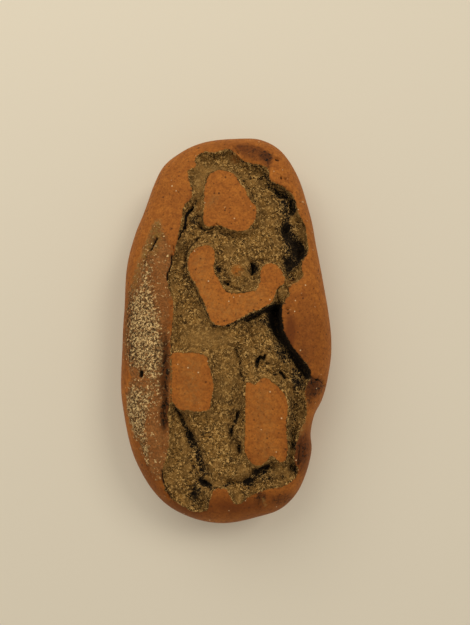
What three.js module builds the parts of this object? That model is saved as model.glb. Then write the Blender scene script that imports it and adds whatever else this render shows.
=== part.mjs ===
import * as THREE from 'three';

// A small worn plaque of fired clay: an oval pebble of a body, and in its sunken field a
// standing robed figure, seen from the front, with folded arms.
// Millimetres. It lies on its flat back, face up, with the figure's head toward +Y.

// Overall size
const WIDTH = 48.4;
const LENGTH = 89;
const THICKNESS = 18;

// The worn face is gently domed: how much lower it is at the sides and at the two ends
const CROWN_ACROSS = 1.2;
const CROWN_ALONG = 1.5;

// The rounded edge: the height where the plaque is widest, how far the rounding reaches in
// over the face on each side, how full its shoulder is, and how far it reaches in below
const WIDEST_HEIGHT = 8.5;
const LEFT_ROUNDING = 9;
const RIGHT_ROUNDING = 7;
const SHOULDER_POWER = 2.2;
const BACK_ROUNDING = 5;

// Relief: depths below the worn face, and the widths of the slopes that lead down to them
const GROUND_DEPTH = 1.9;
const FIGURE_RISE = 0.8;
const FIGURE_SLOPE = 1.8;
const LEFT_WALL = 1.8;
const RIGHT_WALL = 0.9;
const PATCH_SLOPE = 1.3;

// Facets: cells of the middle grid, rows of the ring round it, and steps of the drawn curves
const CELLS_ACROSS = 26;
const CELLS_ALONG = 58;
const RING_ROWS = 16;
const BACK_ROWS = 3;
const CURVE_STEPS = 6;
const CORE_SHARE = { across: 0.5, along: 0.62 };
const SNAP_SHARE = 0.28;

// Every outline is given in hundredths of half the width and half the length, [across, along],
// clockwise from the top, and is drawn as one smooth curve through its points.
const OUTLINE = [
  [7, 100], [35, 99], [56, 92], [71.5, 78], [81.5, 60], [93.5, 22], [98.5, 3.5], [100, -14],
  [96, -29.5], [90.5, -39.5], [83, -47.5], [79.5, -56], [80, -64], [75, -74.5], [66.5, -84.5],
  [52, -92.5], [28, -97], [-3.5, -100], [-34.5, -97], [-56.5, -90.5], [-72, -81.5], [-86, -68],
  [-94, -52.5], [-99.5, -35.5], [-100, -18.5], [-99, 5], [-97, 30.5], [-90, 47], [-81.5, 59.5],
  [-73.5, 73], [-63.5, 84.5], [-46.5, 92.5], [-22, 98.5],
];

// The sunken field, a ragged opening that leaves the rim round it
const FIELD = [
  [-27.5, 83], [-20.5, 87], [-7.5, 86.5], [3.5, 88.5], [11, 85.5], [20.5, 81], [35.5, 79],
  [42, 76], [43, 71.5], [57, 67], [65, 62.5], [69, 54.5], [74, 49.5], [76.5, 43.5], [77.5, 35],
  [71, 27.5], [72, 22], [65, 18], [59, 16], [59.5, 12.5], [54.5, 8.5], [52.5, 4], [54, -5],
  [61, -12.5], [76.5, -24], [77.5, -27.5], [72, -34], [74, -45.5], [67, -54], [62, -66.5],
  [65.5, -72.5], [58, -77.5], [37, -80.5], [23, -83.5], [12.5, -87.5], [6, -84], [3, -80.5],
  [-8, -81], [-11.5, -85], [-14, -90], [-24, -92], [-38, -89], [-50.5, -83.5], [-55, -75.5],
  [-49, -63], [-47.5, -55], [-49, -45.5], [-46.5, -36.5], [-47.5, -12], [-45.5, 8],
  [-51.5, 20.5], [-44.5, 35.5], [-39.5, 50], [-37.5, 57.5], [-29.5, 63.5], [-34, 73.5],
  [-33.5, 77], [-26.5, 79],
];

// The figure from its hair to its hem, raised a little above the ground of the field
const FIGURE = [
  [-17.5, 79.5], [-1.5, 83], [13.5, 81], [33.5, 66], [42.5, 47.5], [59.5, 27.5], [59.5, 20],
  [44.5, 7], [44.5, -1], [62.5, -28], [62.5, -41], [59.5, -71], [49.5, -73], [37.5, -71],
  [12.5, -77.5], [-13.5, -75], [-30.5, -55], [-44, -36], [-45, -14.5], [-40, -5], [-25.5, -0.5],
  [-18.5, 4.5], [-34.5, 21], [-40, 29.5], [-36.5, 38], [-27.5, 45], [-24.5, 64],
];

// The highest places of the figure, worn down level with the rim
const WORN_PATCHES = {
  head: [
    [-4.5, 76.5], [3, 76], [9.5, 74], [14, 70], [20, 65.5], [24, 60.5], [29.5, 57], [30, 53],
    [27, 48.5], [19.5, 44.5], [6.5, 45], [-4, 47.5], [-15.5, 47], [-18.5, 49.5], [-18, 58],
    [-18, 66], [-14.5, 73], [-10.5, 75.5],
  ],
  folded_arms: [
    [-17, 37], [-12, 36.5], [-8, 33.5], [-8.5, 29], [-9, 25], [-4.5, 20], [1, 14.5], [6.5, 13],
    [24, 13.5], [30.5, 15], [33, 19], [34.5, 25], [45, 27.5], [51.5, 25], [55, 19], [48, 14.5],
    [43, 9.5], [35, 6.5], [24, 4.5], [12, 1], [-1.5, -2], [-11.5, 1], [-17, 8], [-25, 17.5],
    [-31, 23], [-32.5, 29], [-30, 33], [-24, 36],
  ],
  hip: [
    [-45.5, -16.5], [-35.5, -17], [-19, -17], [-15, -20], [-11.5, -27.5], [-8.5, -31.5],
    [-10.5, -38.5], [-15.5, -42.5], [-29.5, -43.5], [-38.5, -42], [-44, -38], [-45.5, -31],
    [-45, -24.5],
  ],
  leg: [
    [20.5, -30.5], [29, -31], [33.5, -28.5], [37, -28], [43.5, -30], [49.5, -33], [54.5, -37],
    [56.5, -42.5], [55, -50], [56, -61], [54, -66.5], [49, -67.5], [42, -64.5], [36.5, -67.5],
    [29, -69], [22.5, -66.5], [19, -62], [19.5, -52.5], [19.5, -41],
  ],
};

// Round hollows (positive depth) and mounds (negative) in the field: place and reach are in
// the same hundredths, depth in millimetres
const SPOTS = {
  hollow_by_shoulder: { at: [64.5, 39], reach: [26, 20], depth: 1.1 },
  hollow_under_forearm: { at: [47, -1.5], reach: [22, 14], depth: 1.2 },
  fill_by_crown: { at: [-24.5, 71.5], reach: [18, 16], depth: -1.0 },
  fill_over_hip: { at: [-24.5, -9.5], reach: [30, 12], depth: -0.5 },
  chest_boss: { at: [12, 23.5], reach: [15, 8], depth: -0.9 },
  bead_by_hand: { at: [52, 13.5], reach: [9, 5.5], depth: -1.6 },
  hollow_at_foot: { at: [-25, -83], reach: [16, 9], depth: 0.8 },
};

// Furrows between the forms: a path in the same hundredths, its full width and its depth
const FURROWS = {
  under_rim: {
    path: [[48.5, 5.5], [48, -1], [54.5, -11], [66.5, -21.5], [72.5, -26]], width: 6, depth: 1.3,
  },
  by_shoulder: {
    path: [[55.5, 54], [57.5, 47], [67.5, 37], [64.5, 31], [58, 27], [58.5, 21]],
    width: 5,
    depth: 0.8,
  },
  under_forearm: { path: [[50, 6], [34.5, 4], [22.5, 0], [0, -3]], width: 3, depth: 1.0 },
  along_upper_arm: { path: [[-36, 36], [-34.5, 27], [-18.5, 8], [-10, -1]], width: 3, depth: 0.6 },
  round_neck: {
    path: [[-23, 47.5], [-5, 46.5], [4.5, 43.5], [17.5, 42.5], [27.5, 44.5], [35, 54.5]],
    width: 2.4,
    depth: 0.5,
  },
  by_elbow: { path: [[23, 29], [26.5, 25.5], [27.5, 22]], width: 2.6, depth: 0.8 },
  left_hem: {
    path: [[-42, -42], [-35.5, -51], [-30, -61.5], [-18.5, -77.5]], width: 4, depth: 1.0,
  },
  middle_fold: {
    path: [[11, -14.5], [15.5, -26.5], [11, -43.5], [6.5, -54.5], [13.5, -63.5]],
    width: 2.6,
    depth: 0.6,
  },
  waist_fold: {
    path: [[22, -0.5], [25.5, -8.5], [30, -17.5], [34.5, -21.5]], width: 2.2, depth: 0.6,
  },
  right_hem: {
    path: [[58.5, -33], [62.5, -39.5], [62.5, -50.5], [61, -60]], width: 3, depth: 0.6,
  },
  base: { path: [[7.5, -78.5], [20.5, -78], [29.5, -73], [39, -69]], width: 3, depth: 0.7 },
};

const HALF_WIDTH = WIDTH / 2;
const HALF_LENGTH = LENGTH / 2;

function place([across, along]) {
  return [(across / 100) * HALF_WIDTH, (along / 100) * HALF_LENGTH];
}

// A smooth curve through the points, as a list of [x, y] in millimetres
function drawn(points, closed) {
  const knots = points.map((point) => new THREE.Vector3(...place(point), 0));
  const curve = new THREE.CatmullRomCurve3(knots, closed);
  const samples = curve.getPoints(points.length * CURVE_STEPS);
  if (closed) samples.pop();
  return samples.map((sample) => [sample.x, sample.y]);
}

// The nearest place on a polyline, and how far it is
function nearest(line, closed, x, y) {
  let best = { distance: Infinity, x, y };
  const pieces = closed ? line.length : line.length - 1;
  for (let i = 0; i < pieces; i += 1) {
    const [ax, ay] = line[i];
    const [bx, by] = line[(i + 1) % line.length];
    const along = ((x - ax) * (bx - ax) + (y - ay) * (by - ay)) / ((bx - ax) ** 2 + (by - ay) ** 2);
    const share = THREE.MathUtils.clamp(along, 0, 1);
    const footX = ax + share * (bx - ax);
    const footY = ay + share * (by - ay);
    const distance = Math.hypot(x - footX, y - footY);
    if (distance < best.distance) best = { distance, x: footX, y: footY };
  }
  return best;
}

function isInside(line, x, y) {
  let inside = false;
  line.forEach(([ax, ay], i) => {
    const [bx, by] = line[(i + 1) % line.length];
    if (ay > y !== by > y && x < ax + ((y - ay) / (by - ay)) * (bx - ax)) inside = !inside;
  });
  return inside;
}

// How far a place is inside a closed line, negative outside it
function depthInside(line, x, y) {
  const { distance } = nearest(line, true, x, y);
  return isInside(line, x, y) ? distance : -distance;
}

// Rises smoothly from 0 to 1 while value goes from 0 to width
function ramp(value, width) {
  return THREE.MathUtils.smoothstep(value, 0, width);
}

const outline = drawn(OUTLINE, true);
const field = drawn(FIELD, true);
const figure = drawn(FIGURE, true);
const patches = Object.values(WORN_PATCHES).map((points) => drawn(points, true));
const furrows = Object.values(FURROWS).map(({ path, width, depth }) => (
  { line: drawn(path, false), reach: width / 2, depth }));
const spots = Object.values(SPOTS).map(({ at, reach, depth }) => (
  { at: place(at), reach: place(reach), depth }));

// Share of the right side: 0 at the left edge, 1 at the right edge
function rightShare(x) {
  return THREE.MathUtils.smoothstep(x, -HALF_WIDTH, HALF_WIDTH);
}

function edgeRounding(x) {
  return THREE.MathUtils.lerp(LEFT_ROUNDING, RIGHT_ROUNDING, rightShare(x));
}

// The field's wall is a soft slope on the left and a steep one on the right
function wallWidth(x) {
  return THREE.MathUtils.lerp(LEFT_WALL, RIGHT_WALL, rightShare(x));
}

// The body before carving: a domed face that rounds over to the edge
function wornHeight(x, y) {
  const crown = CROWN_ACROSS * (x / HALF_WIDTH) ** 2 + CROWN_ALONG * (y / HALF_LENGTH) ** 2;
  const inward = Math.max(depthInside(outline, x, y), 0) / edgeRounding(x);
  const away = 1 - Math.min(inward, 1);
  const shoulder = (1 - away ** SHOULDER_POWER) ** (1 / SHOULDER_POWER);
  return WIDEST_HEIGHT + (THICKNESS - crown - WIDEST_HEIGHT) * shoulder;
}

function spotDepth(spot, x, y) {
  const away = ((x - spot.at[0]) / spot.reach[0]) ** 2 + ((y - spot.at[1]) / spot.reach[1]) ** 2;
  return away < 1 ? spot.depth * (1 - away) ** 2 : 0;
}

function furrowDepth(furrow, x, y) {
  const { distance } = nearest(furrow.line, false, x, y);
  return furrow.depth * (1 - ramp(distance, furrow.reach));
}

// How deep the relief is below the worn face
function reliefDepth(x, y) {
  const within = depthInside(field, x, y);
  if (within <= 0) return 0;
  let depth = GROUND_DEPTH - FIGURE_RISE * ramp(depthInside(figure, x, y), FIGURE_SLOPE);
  spots.forEach((spot) => { depth += spotDepth(spot, x, y); });
  furrows.forEach((furrow) => { depth += furrowDepth(furrow, x, y); });
  depth = Math.max(depth, 0) * ramp(within, wallWidth(x));
  patches.forEach((patch) => { depth *= ramp(-depthInside(patch, x, y), PATCH_SLOPE); });
  return depth;
}

// A vertex close to the edge of the field or of a worn patch, or to the foot of the slope
// there, moves onto that line, so that edges and slopes run along the facets. It moves by
// no more than a share of the spacing to its neighbours, so that no facet turns over.
function snapped(x, y, spacing) {
  const slopes = [
    { line: field, width: wallWidth(x), within: true },
    ...patches.map((line) => ({ line, width: PATCH_SLOPE, within: false })),
  ];
  let best = { move: SNAP_SHARE * spacing, x, y };
  slopes.forEach(({ line, width, within }) => {
    const edge = nearest(line, true, x, y);
    if (edge.distance < best.move) best = { move: edge.distance, x: edge.x, y: edge.y };
    const move = Math.abs(edge.distance - width);
    if (move < best.move && isInside(line, x, y) === within) {
      const pull = width / edge.distance;
      best = { move, x: edge.x + (x - edge.x) * pull, y: edge.y + (y - edge.y) * pull };
    }
  });
  return [best.x, best.y];
}

// Where the ray from the middle through a place leaves the outline
function outlineBeyond(x, y) {
  for (let i = 0; i < outline.length; i += 1) {
    const [ax, ay] = outline[i];
    const [bx, by] = outline[(i + 1) % outline.length];
    const turn = x * (by - ay) - y * (bx - ax);
    const share = (y * ax - x * ay) / turn;
    const reach = (ax * (by - ay) - ay * (bx - ax)) / turn;
    if (share >= 0 && share < 1 && reach > 0) return [x * reach, y * reach];
  }
  throw new Error('the outline does not close round the middle');
}

// The middle grid's border, walked once round counterclockwise, as [column, row]
function borderCells() {
  const cells = [];
  for (let i = 0; i < CELLS_ACROSS; i += 1) cells.push([i, 0]);
  for (let j = 0; j < CELLS_ALONG; j += 1) cells.push([CELLS_ACROSS, j]);
  for (let i = CELLS_ACROSS; i > 0; i -= 1) cells.push([i, CELLS_ALONG]);
  for (let j = CELLS_ALONG; j > 0; j -= 1) cells.push([0, j]);
  return cells;
}

// Places from the grid's border out to the outline, evenly spaced along the rounded surface
function spokePlaces([startX, startY]) {
  const [endX, endY] = outlineBeyond(startX, startY);
  const run = Math.hypot(endX - startX, endY - startY);
  const rounding = Math.min(edgeRounding(startX), 0.9 * run);
  const rise = THICKNESS - WIDEST_HEIGHT;
  const flat = run - rounding;
  const arc = (Math.PI / 4) * (rounding + rise);
  const places = [];
  for (let row = 1; row <= RING_ROWS; row += 1) {
    const travelled = (row / RING_ROWS) * (flat + arc);
    const turn = Math.max(travelled - flat, 0) / arc;
    const out = Math.min(travelled, flat) + rounding * Math.sin((turn * Math.PI) / 2);
    const share = out / run;
    places.push([startX + (endX - startX) * share, startY + (endY - startY) * share]);
  }
  return places;
}

function plaqueGeometry() {
  const vertices = [];
  const triangles = [];
  const addVertex = (x, y, z) => vertices.push(x, y, z) / 3 - 1;
  const addFace = (x, y) => addVertex(x, y, wornHeight(x, y) - reliefDepth(x, y));
  const drop = (a, b) => Math.abs(vertices[a * 3 + 2] - vertices[b * 3 + 2]);
  // Each cell is parted along the diagonal that is more nearly level
  const addQuad = (a, b, c, d) => {
    if (drop(a, c) < drop(b, d)) triangles.push(a, b, c, a, c, d);
    else triangles.push(b, c, d, b, d, a);
  };

  // The middle of the face
  const core = [];
  const cell = Math.min(
    CORE_SHARE.across * WIDTH / CELLS_ACROSS,
    CORE_SHARE.along * LENGTH / CELLS_ALONG,
  );
  for (let i = 0; i <= CELLS_ACROSS; i += 1) {
    core.push([]);
    for (let j = 0; j <= CELLS_ALONG; j += 1) {
      const x = (2 * i / CELLS_ACROSS - 1) * CORE_SHARE.across * HALF_WIDTH;
      const y = (2 * j / CELLS_ALONG - 1) * CORE_SHARE.along * HALF_LENGTH;
      core[i].push(addFace(...snapped(x, y, cell)));
    }
  }
  for (let i = 0; i < CELLS_ACROSS; i += 1) {
    for (let j = 0; j < CELLS_ALONG; j += 1) {
      addQuad(core[i][j], core[i + 1][j], core[i + 1][j + 1], core[i][j + 1]);
    }
  }

  // The ring of the face round it, out to the edge
  const border = borderCells();
  const spokes = border.map(([i, j]) => {
    const start = core[i][j] * 3;
    const places = spokePlaces([vertices[start], vertices[start + 1]]);
    const spoke = places.slice(0, -1).map(([x, y], row) => {
      const [outX, outY] = places[row + 1];
      return addFace(...snapped(x, y, Math.min(cell, Math.hypot(outX - x, outY - y))));
    });
    const edge = places.at(-1);
    return { edge, vertices: [core[i][j], ...spoke, addVertex(...edge, WIDEST_HEIGHT)] };
  });

  // The edge below, rounded under to the flat back
  spokes.forEach(({ edge: [x, y], vertices: spoke }) => {
    const inset = BACK_ROUNDING / Math.hypot(x, y);
    for (let row = 1; row <= BACK_ROWS; row += 1) {
      const turn = (row / BACK_ROWS) * (Math.PI / 2);
      const share = 1 - inset * (1 - Math.cos(turn));
      const height = row === BACK_ROWS ? 0 : WIDEST_HEIGHT * (1 - Math.sin(turn));
      spoke.push(addVertex(x * share, y * share, height));
    }
  });
  spokes.forEach(({ vertices: spoke }, i) => {
    const next = spokes[(i + 1) % spokes.length].vertices;
    for (let row = 0; row + 1 < spoke.length; row += 1) {
      addQuad(spoke[row], spoke[row + 1], next[row + 1], next[row]);
    }
  });

  // The flat back
  const rim = spokes.map(({ vertices: spoke }) => spoke.at(-1));
  const rimPlaces = rim.map((index) => new THREE.Vector2(vertices[index * 3], vertices[index * 3 + 1]));
  THREE.ShapeUtils.triangulateShape(rimPlaces, []).forEach(([a, b, c]) => {
    triangles.push(rim[a], rim[c], rim[b]);
  });

  const geometry = new THREE.BufferGeometry();
  geometry.setAttribute('position', new THREE.Float32BufferAttribute(vertices, 3));
  geometry.setIndex(triangles);
  geometry.computeVertexNormals();
  return geometry;
}

const firedClay = new THREE.MeshStandardMaterial({ color: 0x9a5922, roughness: 0.7, metalness: 0 });

const plaque = new THREE.Mesh(plaqueGeometry(), firedClay);
plaque.name = 'plaque';

const model = new THREE.Group();
model.add(plaque);

export default model;
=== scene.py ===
"""A small worn plaque of fired clay: a standing robed figure with folded arms in a sunken field.

The field is full of gritty soil, and the highest places of the figure are worn level with the rim.
"""

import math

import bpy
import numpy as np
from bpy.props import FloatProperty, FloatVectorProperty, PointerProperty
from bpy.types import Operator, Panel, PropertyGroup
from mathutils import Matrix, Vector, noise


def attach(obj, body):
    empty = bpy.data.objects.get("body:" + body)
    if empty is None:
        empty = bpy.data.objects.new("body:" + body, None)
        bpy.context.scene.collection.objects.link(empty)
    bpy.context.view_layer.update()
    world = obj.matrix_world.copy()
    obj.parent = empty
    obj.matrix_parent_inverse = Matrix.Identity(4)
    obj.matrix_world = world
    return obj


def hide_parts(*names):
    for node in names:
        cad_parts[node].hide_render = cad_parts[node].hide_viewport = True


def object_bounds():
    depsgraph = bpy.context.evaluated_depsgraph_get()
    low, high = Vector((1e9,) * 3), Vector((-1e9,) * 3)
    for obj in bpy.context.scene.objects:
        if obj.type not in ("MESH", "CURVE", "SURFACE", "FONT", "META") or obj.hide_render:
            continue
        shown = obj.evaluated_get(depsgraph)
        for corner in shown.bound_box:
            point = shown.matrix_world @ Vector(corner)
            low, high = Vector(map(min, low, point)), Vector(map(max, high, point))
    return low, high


bl_info = {
    "name": "Worn Figure Plaque",
    "version": (1, 0, 0),
    "blender": (4, 5, 0),
    "location": "3D View > Sidebar > Plaque",
    "description": "Makes a small worn clay plaque with a standing figure in its sunken field",
    "category": "Add Mesh",
}

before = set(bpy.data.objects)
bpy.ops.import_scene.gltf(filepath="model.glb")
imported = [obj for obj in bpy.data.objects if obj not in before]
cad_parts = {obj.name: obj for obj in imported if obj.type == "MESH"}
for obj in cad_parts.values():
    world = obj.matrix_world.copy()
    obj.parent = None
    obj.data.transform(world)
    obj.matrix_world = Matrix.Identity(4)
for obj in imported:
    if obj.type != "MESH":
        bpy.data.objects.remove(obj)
CAD_LOW, CAD_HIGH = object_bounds()
MM = 0.001

# Every outline is given in hundredths of half the width and half the length, (across, along),
# clockwise from the top, and is drawn as one smooth curve through its points.
OUTLINE = (
    (7, 100), (35, 99), (56, 92), (71.5, 78), (81.5, 60), (93.5, 22), (98.5, 3.5), (100, -14),
    (96, -29.5), (90.5, -39.5), (83, -47.5), (79.5, -56), (80, -64), (75, -74.5), (66.5, -84.5),
    (52, -92.5), (28, -97), (-3.5, -100), (-34.5, -97), (-56.5, -90.5), (-72, -81.5),
    (-86, -68), (-94, -52.5), (-99.5, -35.5), (-100, -18.5), (-99, 5), (-97, 30.5), (-90, 47),
    (-81.5, 59.5), (-73.5, 73), (-63.5, 84.5), (-46.5, 92.5), (-22, 98.5),
)

# The sunken field, a ragged opening that leaves the rim round it
FIELD = (
    (-27.5, 83), (-20.5, 87), (-7.5, 86.5), (3.5, 88.5), (11, 85.5), (20.5, 81), (35.5, 79),
    (42, 76), (43, 71.5), (57, 67), (65, 62.5), (69, 54.5), (74, 49.5), (76.5, 43.5),
    (77.5, 35), (71, 27.5), (72, 22), (65, 18), (59, 16), (59.5, 12.5), (54.5, 8.5), (52.5, 4),
    (54, -5), (61, -12.5), (76.5, -24), (77.5, -27.5), (72, -34), (74, -45.5), (67, -54),
    (62, -66.5), (65.5, -72.5), (58, -77.5), (37, -80.5), (23, -83.5), (12.5, -87.5), (6, -84),
    (3, -80.5), (-8, -81), (-11.5, -85), (-14, -90), (-24, -92), (-38, -89), (-50.5, -83.5),
    (-55, -75.5), (-49, -63), (-47.5, -55), (-49, -45.5), (-46.5, -36.5), (-47.5, -12),
    (-45.5, 8), (-51.5, 20.5), (-44.5, 35.5), (-39.5, 50), (-37.5, 57.5), (-29.5, 63.5),
    (-34, 73.5), (-33.5, 77), (-26.5, 79),
)

# The figure from its hair to its hem, raised a little above the ground of the field
FIGURE = (
    (-17.5, 79.5), (-1.5, 83), (13.5, 81), (33.5, 66), (42.5, 47.5), (59.5, 27.5), (59.5, 20),
    (44.5, 7), (44.5, -1), (62.5, -28), (62.5, -41), (59.5, -71), (49.5, -73), (37.5, -71),
    (12.5, -77.5), (-13.5, -75), (-30.5, -55), (-44, -36), (-45, -14.5), (-40, -5),
    (-25.5, -0.5), (-18.5, 4.5), (-34.5, 21), (-40, 29.5), (-36.5, 38), (-27.5, 45),
    (-24.5, 64),
)

# The highest places of the figure, worn down level with the rim
WORN_PATCHES = {
    "head": (
        (-4.5, 76.5), (3, 76), (9.5, 74), (14, 70), (20, 65.5), (24, 60.5), (29.5, 57),
        (30, 53), (27, 48.5), (19.5, 44.5), (6.5, 45), (-4, 47.5), (-15.5, 47), (-18.5, 49.5),
        (-18, 58), (-18, 66), (-14.5, 73), (-10.5, 75.5),
    ),
    "folded_arms": (
        (-17, 37), (-12, 36.5), (-8, 33.5), (-8.5, 29), (-9, 25), (-4.5, 20), (1, 14.5),
        (6.5, 13), (24, 13.5), (30.5, 15), (33, 19), (34.5, 25), (45, 27.5), (51.5, 25),
        (55, 19), (48, 14.5), (43.5, 9), (36, 6), (24.5, 3.5), (13, 0), (-1, -3), (-10.5, -0.5),
        (-17, 8), (-25, 17.5), (-31, 23), (-32.5, 29), (-30, 33), (-24, 36),
    ),
    "hip": (
        (-45.5, -16.5), (-37.5, -16), (-20.5, -16.5), (-15, -18), (-12.5, -23.5), (-9.5, -28),
        (-9, -33), (-10.5, -38), (-12.5, -42.5), (-19, -44), (-29, -43.5), (-38, -43),
        (-43.5, -40.5), (-45.5, -38), (-45.5, -32), (-45.5, -25),
    ),
    "leg": (
        (20.5, -30.5), (29, -31), (33.5, -28.5), (37, -28), (43.5, -30), (49.5, -33),
        (54.5, -37), (56.5, -42.5), (55, -50), (56, -61), (54, -66.5), (49, -67.5), (42, -64.5),
        (36.5, -67.5), (29, -69), (22.5, -66.5), (19, -62), (19.5, -52.5), (19.5, -41),
    ),
}

# The crusted part of the left flank
CRUST = (
    (-63, 50), (-55, 44), (-48.5, 36.5), (-46, 23.5), (-48.5, 10.5), (-49, -4.5), (-47.5, -19.5),
    (-47, -39), (-45, -51), (-48.5, -63), (-53.5, -74.5), (-61.5, -76), (-68, -70.5),
    (-73.5, -64), (-80, -57.5), (-86, -49.5), (-89, -41), (-87.5, -33.5), (-84, -27.5),
    (-90, -20.5), (-93.5, -12), (-93, 0.5), (-90.5, 11), (-87.5, 18.5), (-82, 25.5), (-76.5, 33),
    (-70.5, 41.5),
)

# The brown stain on the rim over the head
TOP_STAIN = (
    (10, 90.5), (20.5, 92), (31, 91), (39.5, 88), (46, 83.5), (45, 79.5), (41, 76), (36.5, 79.5),
    (28, 81), (19.5, 82.5), (13, 86.5),
)

# Round hollows (positive depth) and mounds (negative) in the field: place, reach in the same
# hundredths, depth in millimetres
SPOTS = {
    "hollow by shoulder": ((64.5, 39), (26, 20), 1.1),
    "hollow under forearm": ((47, -1.5), (22, 14), 1.2),
    "fill by crown": ((-24.5, 71.5), (18, 16), -1.0),
    "fill over hip": ((-24.5, -9.5), (30, 12), -0.5),
    "chest boss": ((12, 23.5), (15, 8), -0.9),
    "bead by hand": ((52, 13.5), (9, 5.5), -1.6),
    "hollow at foot": ((-25, -83), (16, 9), 0.8),
}
FINE_SPOTS = {
    "hollow by the neck": ((-29.5, 52), (7.5, 6), 0.7),
    "top scallop": ((35.5, 74), (7, 3), 0.5),
    "upper scallop": ((53, 64.5), (11.5, 3.5), 0.8),
    "right scallop": ((63, 58), (6, 5.5), 0.8),
    "shoulder scallop": ((57.5, 46.5), (7, 5.5), 0.8),
    "shoulder pit": ((68, 36.5), (8.5, 6.5), 0.65),
    "shoulder hole": ((72.5, 34.5), (5, 5.5), 0.6),
    "elbow scallop": ((58, 29.5), (7.5, 6), 0.8),
    "shoulder cut": ((55.5, 46), (5, 3.5), 0.4),
    "shoulder mound": ((69, 45.5), (7.5, 4.5), -0.7),
    "neck mound": ((1.5, 38), (15.5, 3), -0.4),
    "hair mound": ((48, 50), (11.5, 9.5), -0.4),
    "chest pit": ((27.5, 26), (6.5, 4.5), 1.5),
    "chest ring": ((-4, 25.5), (5, 3), 0.8),
    "chest nick": ((3.5, 18.5), (4, 1.5), 0.9),
    "waist pit": ((47, 1), (10.5, 8.5), 0.8),
    "thigh pit one": ((46, -26.5), (3, 1.5), 0.8),
    "foot pit": ((-27, -86), (6, 6.5), 1.0),
    "hem pit": ((-15.5, -79), (7.5, 2.5), 0.85),
    "fold pit one": ((6.5, -53.5), (4, 4), 0.7),
    "fold pit two": ((12, -47), (4, 4.5), 0.7),
    "fold pit three": ((14, -62), (3, 4), 0.6),
    "knot pit": ((31.5, -20), (7, 3.5), 0.55),
    "base pit one": ((21.5, -77.5), (7, 3), 0.8),
    "base pit two": ((29.5, -73.5), (7, 3), 0.75),
    "base pit three": ((37, -71.5), (6, 3.5), 0.75),
    "base pit seven": ((39, -76), (4, 2.5), 0.8),
    "base pit four": ((4, -78.5), (6, 2), 0.6),
    "base pit five": ((61, -71.5), (6, 4), 0.9),
    "base pit six": ((52, -75.5), (4, 2.5), 0.7),
    "side pit": ((62, -60.5), (4, 3.5), 0.6),
    "side pit two": ((58.5, -54.5), (4, 3), 0.55),
    "side pit three": ((70, -31.5), (6, 4.5), 0.8),
}

# Furrows between the forms: path in the same hundredths, full width and depth in millimetres
FURROWS = {
    "under rim": (((48.5, 5.5), (48, -1), (54.5, -11), (66.5, -21.5), (72.5, -26)), 6, 1.3),
    "by shoulder": ((
        (55.5, 54), (57.5, 47), (67.5, 37), (64.5, 31), (58, 27), (58.5, 21),
    ), 5, 0.8),
    "under forearm": (((50, 6), (34.5, 4), (22.5, 0), (0, -3)), 3, 1.0),
    "along upper arm": (((-36, 36), (-34.5, 27), (-18.5, 8), (-10, -1)), 3, 0.6),
    "round neck": ((
        (-23, 47.5), (-5, 46.5), (4.5, 43.5), (17.5, 42.5), (27.5, 44.5), (35, 54.5),
    ), 2.4, 0.5),
    "by elbow": (((23, 29), (26.5, 25.5), (27.5, 22)), 2.6, 0.8),
    "left hem": (((-42, -42), (-35.5, -51), (-30, -61.5), (-18.5, -77.5)), 4, 1.0),
    "middle fold": ((
        (11, -14.5), (15.5, -26.5), (11, -43.5), (6.5, -54.5), (13.5, -63.5),
    ), 2.6, 0.6),
    "waist fold": (((22, -0.5), (25.5, -8.5), (30, -17.5), (34.5, -21.5)), 2.2, 0.6),
    "right hem": (((58.5, -33), (62.5, -39.5), (62.5, -50.5), (61, -60)), 3, 0.6),
    "base": (((7.5, -78.5), (20.5, -78), (29.5, -73), (39, -69)), 3, 0.7),
}
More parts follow.
